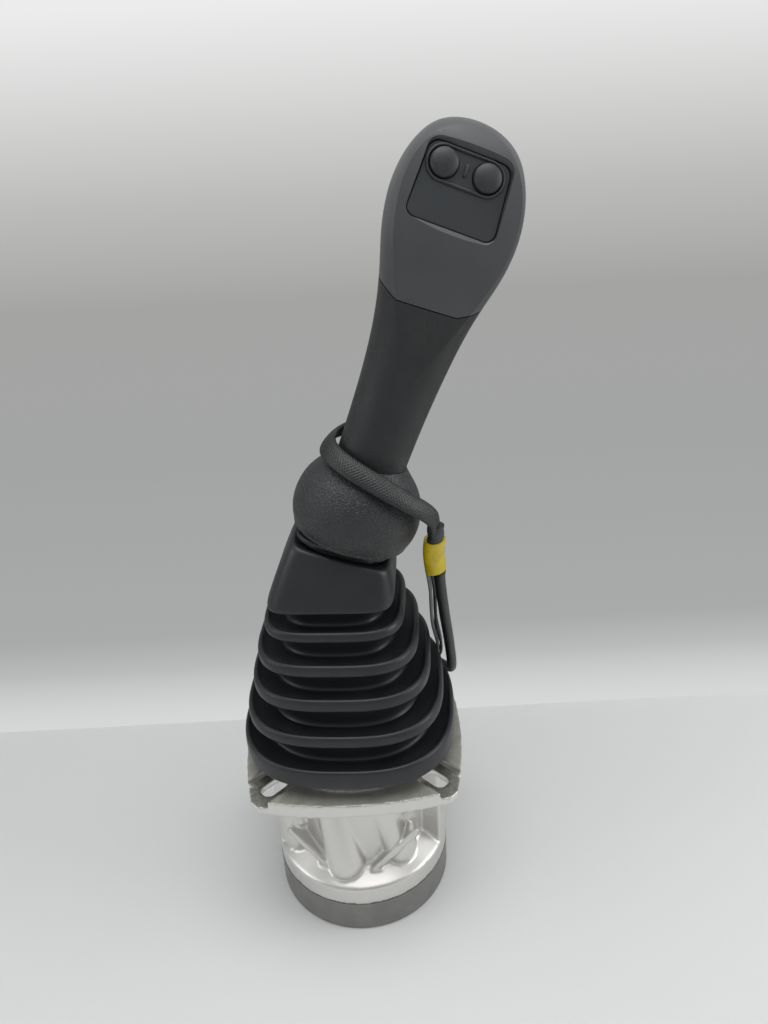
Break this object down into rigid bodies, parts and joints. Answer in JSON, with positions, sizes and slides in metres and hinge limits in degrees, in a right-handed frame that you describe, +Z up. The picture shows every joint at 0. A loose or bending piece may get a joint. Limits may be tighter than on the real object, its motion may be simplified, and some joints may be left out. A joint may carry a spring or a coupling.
{
  "type": "hydraulic pilot-control joystick",
  "caption": "Pilot-valve joystick: steel port block and cast body with slotted flange, square rubber bellows, bell skirt and leaning two-button hand grip with a braided harness.",
  "frame": {"origin": "centre of the port block's bottom face, on the valve axis", "axes": "+Z up along the valve axis; -Y faces the operator and the switch panel; +X is to the operator's right, the side the grip leans to"},
  "size_m": [0.1447, 0.179, 0.4064],
  "materials": {
    "bell": "leather grain",
    "bezel": "fine texture",
    "black_steel": "black oxide",
    "boot": "satin moulded",
    "braid": "braided polyester",
    "bronze": "turned",
    "button": "satin",
    "casting": "as cast, matt",
    "electrical": "moulded",
    "grip": "matt soft touch",
    "panel": "satin",
    "port_block": "fine turned",
    "pvc_black": "lead",
    "pvc_blue": "lead",
    "pvc_grey": "lead",
    "pvc_red": "lead",
    "seal": "matt",
    "shrink": "satin",
    "steel": "machined",
    "tape": "printed tape, left bare"
  },
  "bodies": {
    "valve": {"port_block": "port_block", "port_seals": "seal", "valve_body": "casting", "block_screws": "black_steel", "retaining_plate": "steel", "plate_screws": "black_steel", "plunger_guides": "bronze", "rod_wipers": "seal", "return_springs": "steel", "metering_springs": "steel", "lower_yoke": "steel", "bellows_boot": "boot", "braided_tail": "braid", "lead_grey": "pvc_grey", "lead_red": "pvc_red", "lead_blue": "pvc_blue", "lead_black": "pvc_black", "tail_connector": "electrical"},
    "cross": {"joint_cross": "steel"},
    "lever": {"upper_yoke": "steel", "cam_plate": "steel", "cam_nut": "steel", "lever_rod": "steel", "rod_nut": "steel", "boot_top_plate": "boot", "bell_skirt": "bell", "grip_shell": "grip", "grip_bezel": "bezel", "grip_clamp": "steel", "grip_screws": "black_steel", "switch_panel": "panel", "button_ring": "panel", "switch_left": "electrical", "switch_right": "electrical", "switch_bracket": "electrical", "inner_lead": "pvc_grey", "cable_grommet": "seal", "braided_sleeve": "braid", "heat_shrink": "shrink", "marker_tape": "tape"},
    "button_left": {"button_left": "button"},
    "button_right": {"button_right": "panel"},
    "plunger_left": {"plunger_left": "steel", "spring_seat_left": "steel"},
    "spool_left": {"spool_left": "steel"},
    "plunger_right": {"plunger_right": "steel", "spring_seat_right": "steel"},
    "spool_right": {"spool_right": "steel"},
    "plunger_front": {"plunger_front": "steel", "spring_seat_front": "steel"},
    "spool_front": {"spool_front": "steel"},
    "plunger_rear": {"plunger_rear": "steel", "spring_seat_rear": "steel"},
    "spool_rear": {"spool_rear": "steel"}
  },
  "joints": [
    {"name": "tilt_front_back", "type": "hinge", "parent": "valve", "child": "cross", "pos_m": [0, 0, 0.118], "axis": [1, 0, 0], "range_deg": [-19, 19], "stiffness_Nm_per_rad": 8, "deforming": ["bellows_boot", "return_springs", "metering_springs", "braided_tail", "lead_grey", "lead_red", "lead_blue", "lead_black"]},
    {"name": "tilt_left_right", "type": "hinge", "parent": "cross", "child": "lever", "pos_m": [0, 0, 0.118], "axis": [0, 1, 0], "range_deg": [-19, 19], "stiffness_Nm_per_rad": 8, "deforming": ["bellows_boot", "return_springs", "metering_springs", "braided_tail", "lead_grey", "lead_red", "lead_blue", "lead_black"]},
    {"name": "press_left", "type": "slide", "parent": "lever", "child": "button_left", "axis": [-0.1209, 0.9455, -0.3023], "range_m": [0, 0.0016], "stiffness_N_per_m": 1500},
    {"name": "press_right", "type": "slide", "parent": "lever", "child": "button_right", "axis": [-0.1209, 0.9455, -0.3023], "range_m": [0, 0.0016], "stiffness_N_per_m": 1500},
    {"name": "plunger_left_slide", "type": "slide", "parent": "valve", "child": "plunger_left", "axis": [0, 0, 1], "range_m": [-0.0076, 0.0076]},
    {"name": "spool_left_slide", "type": "slide", "parent": "valve", "child": "spool_left", "axis": [0, 0, 1], "range_m": [-0.0011, 0.0011]},
    {"name": "plunger_right_slide", "type": "slide", "parent": "valve", "child": "plunger_right", "axis": [0, 0, 1], "range_m": [-0.0076, 0.0076]},
    {"name": "spool_right_slide", "type": "slide", "parent": "valve", "child": "spool_right", "axis": [0, 0, 1], "range_m": [-0.0011, 0.0011]},
    {"name": "plunger_front_slide", "type": "slide", "parent": "valve", "child": "plunger_front", "axis": [0, 0, 1], "range_m": [-0.0076, 0.0076]},
    {"name": "spool_front_slide", "type": "slide", "parent": "valve", "child": "spool_front", "axis": [0, 0, 1], "range_m": [-0.0011, 0.0011]},
    {"name": "plunger_rear_slide", "type": "slide", "parent": "valve", "child": "plunger_rear", "axis": [0, 0, 1], "range_m": [-0.0076, 0.0076]},
    {"name": "spool_rear_slide", "type": "slide", "parent": "valve", "child": "spool_rear", "axis": [0, 0, 1], "range_m": [-0.0011, 0.0011]}
  ],
  "couplings": [
    {"joint": "plunger_left_slide", "follows": "tilt_left_right", "m_per_rad": 0.022},
    {"joint": "spool_left_slide", "follows": "tilt_left_right", "m_per_rad": 0.003},
    {"joint": "plunger_right_slide", "follows": "tilt_left_right", "m_per_rad": -0.022},
    {"joint": "spool_right_slide", "follows": "tilt_left_right", "m_per_rad": -0.003},
    {"joint": "plunger_front_slide", "follows": "tilt_front_back", "m_per_rad": -0.022},
    {"joint": "spool_front_slide", "follows": "tilt_front_back", "m_per_rad": -0.003},
    {"joint": "plunger_rear_slide", "follows": "tilt_front_back", "m_per_rad": 0.022},
    {"joint": "spool_rear_slide", "follows": "tilt_front_back", "m_per_rad": 0.003}
  ]
}
